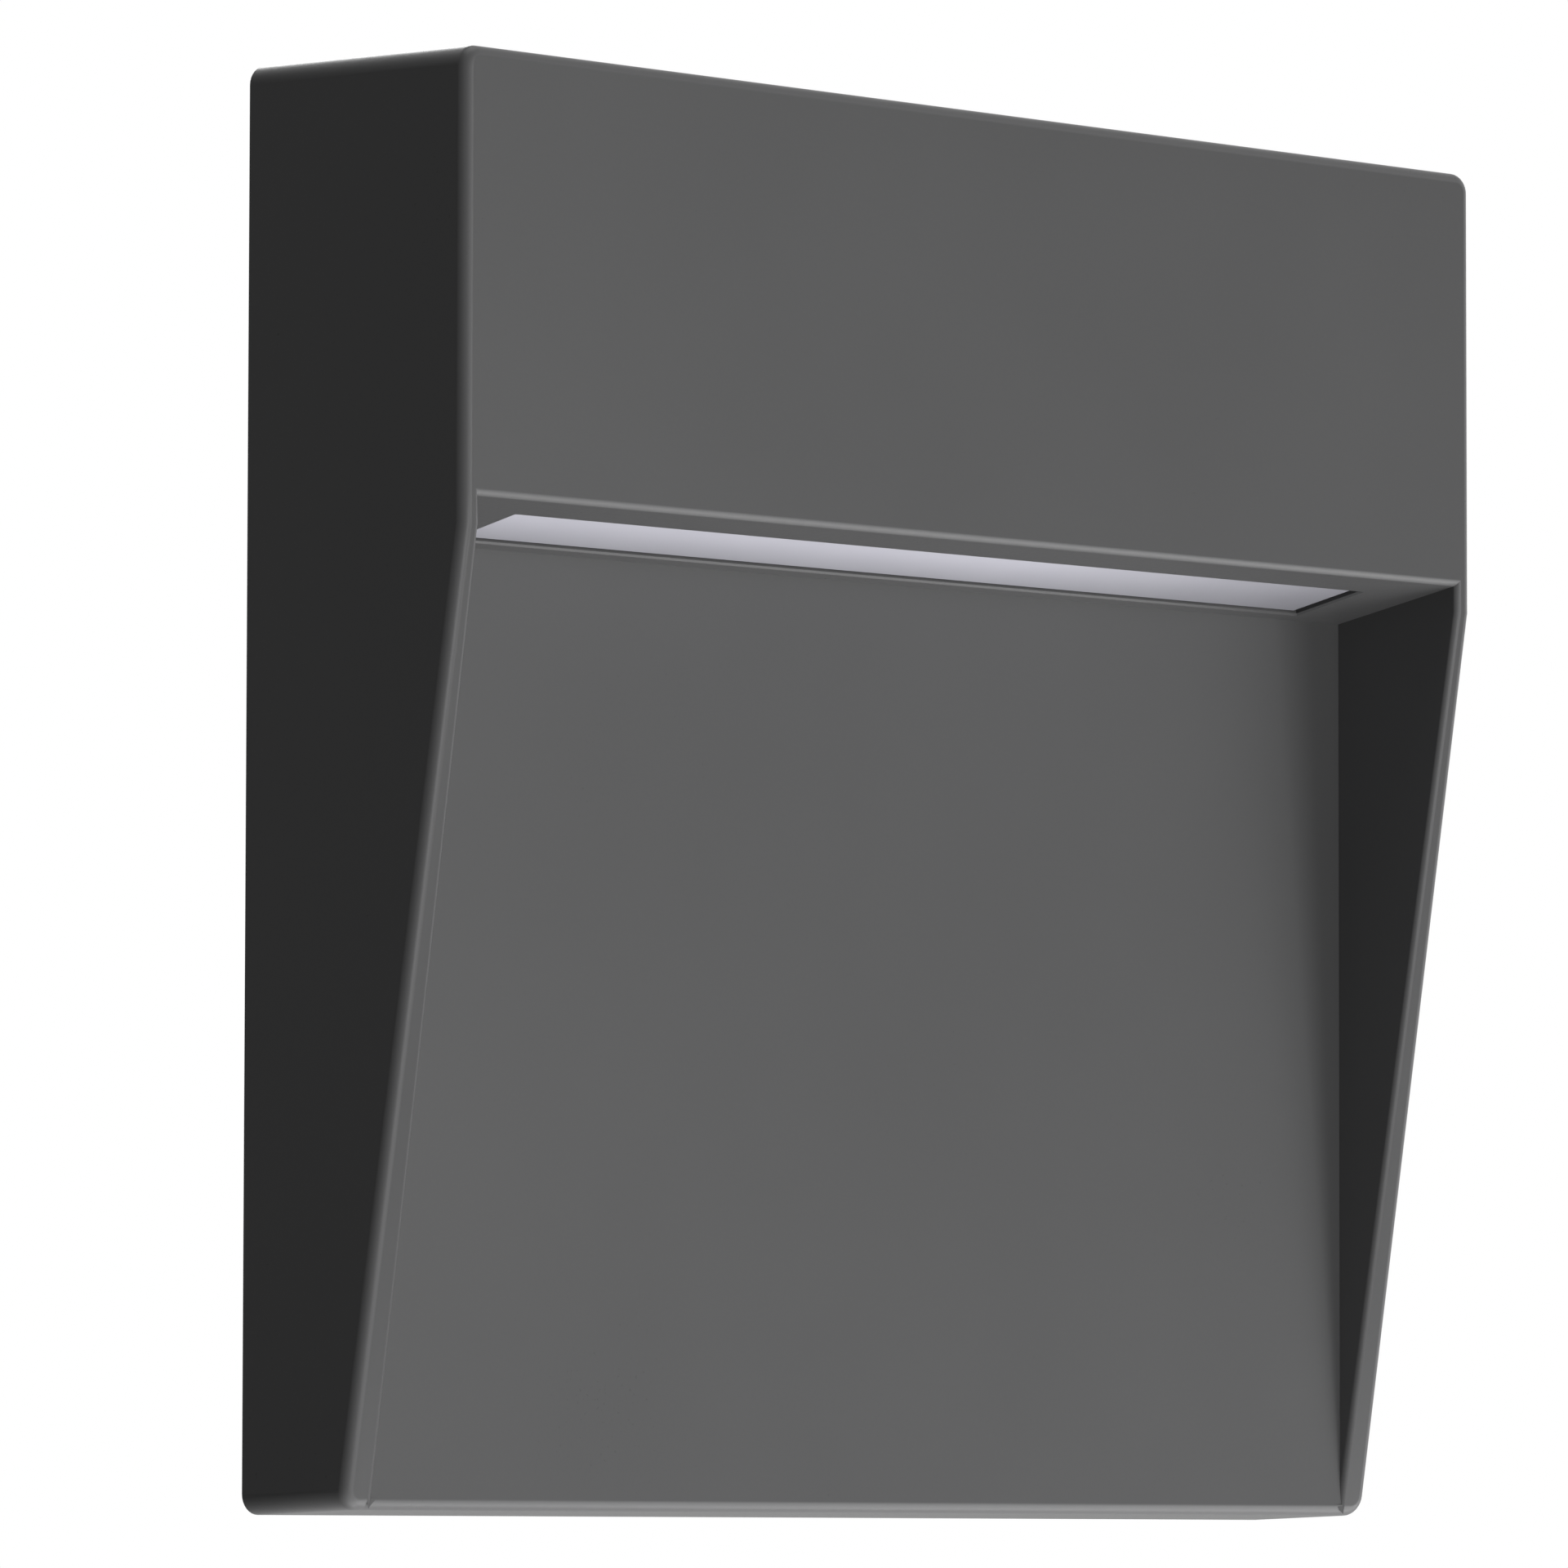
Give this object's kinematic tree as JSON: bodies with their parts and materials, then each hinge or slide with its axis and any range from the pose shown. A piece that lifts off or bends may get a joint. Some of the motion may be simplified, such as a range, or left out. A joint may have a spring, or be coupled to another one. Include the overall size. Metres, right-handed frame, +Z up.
{
  "type": "step light",
  "caption": "Square surface-mounted step light: a die-cast hood whose recessed panel is lit from above by a frosted lens strip, on a back plate for a wall.",
  "frame": {"origin": "centre of the wall face, midway between the two wall screws", "axes": "+X to the right of the light as seen from the front, +Y into the wall that it is fixed to, so that the front faces -Y, +Z up"},
  "size_m": [0.14, 0.0306, 0.14],
  "materials": {
    "hood_coat": "satin, fine-grained anthracite powder coat",
    "lens_frosted": "frosted polycarbonate, faintly violet white",
    "silicone_dark": "matte dark silicone",
    "silicone_pale": "matte pale silicone",
    "box_white": "satin white reflector plastic",
    "board_white": "white solder mask",
    "led_phosphor": "yellow phosphor in a white frame",
    "thermal_grey": "matte grey-blue thermal pad",
    "sheet_aluminium": "milled sheet aluminium",
    "plate_cast": "bare die-cast aluminium",
    "foam_black": "matte closed-cell foam",
    "grommet_rubber": "matte black rubber",
    "steel_zinc": "zinc-plated steel",
    "steel_stainless": "stainless steel",
    "brass_terminal": "plain brass",
    "case_white": "matte white plastic",
    "circuit_green": "green solder mask",
    "ferrite": "matte ferrite core with wound bobbin",
    "can_blue": "sleeved capacitor can",
    "chip_black": "matte moulded package",
    "nylon_white": "matte natural nylon",
    "lead_brown": "soft PVC",
    "lead_blue": "soft PVC",
    "lead_green_yellow": "soft PVC, green and yellow",
    "lead_red": "soft PVC",
    "lead_black": "soft PVC"
  },
  "bodies": {
    "root": {"housing": "hood_coat", "lens": "lens_frosted", "lens_gasket": "silicone_pale", "light_box": "box_white", "led_board": "board_white", "led_chips": "led_phosphor", "thermal_pad": "thermal_grey", "led_bracket": "sheet_aluminium", "bracket_screws": "steel_zinc", "driver_case": "case_white", "driver_lid": "case_white", "driver_board": "circuit_green", "driver_transformer": "ferrite", "driver_capacitors": "can_blue", "driver_chips": "chip_black", "driver_screws": "steel_zinc", "back_plate": "plate_cast", "plate_gasket": "silicone_dark", "wall_seal": "foam_black", "cable_grommet": "grommet_rubber", "cable_clamp": "nylon_white", "clamp_screws": "steel_zinc", "terminal_block": "nylon_white", "terminal_inserts": "brass_terminal", "terminal_screws": "steel_zinc", "terminal_fixings": "steel_zinc", "live_lead": "lead_brown", "neutral_lead": "lead_blue", "earth_lead": "lead_green_yellow", "earth_tag": "steel_zinc", "earth_washer": "steel_zinc", "earth_screw": "brass_terminal", "led_lead_plus": "lead_red", "led_lead_minus": "lead_black", "fixing_screws": "steel_stainless", "fixing_seals": "silicone_dark"}
  },
  "joints": []
}
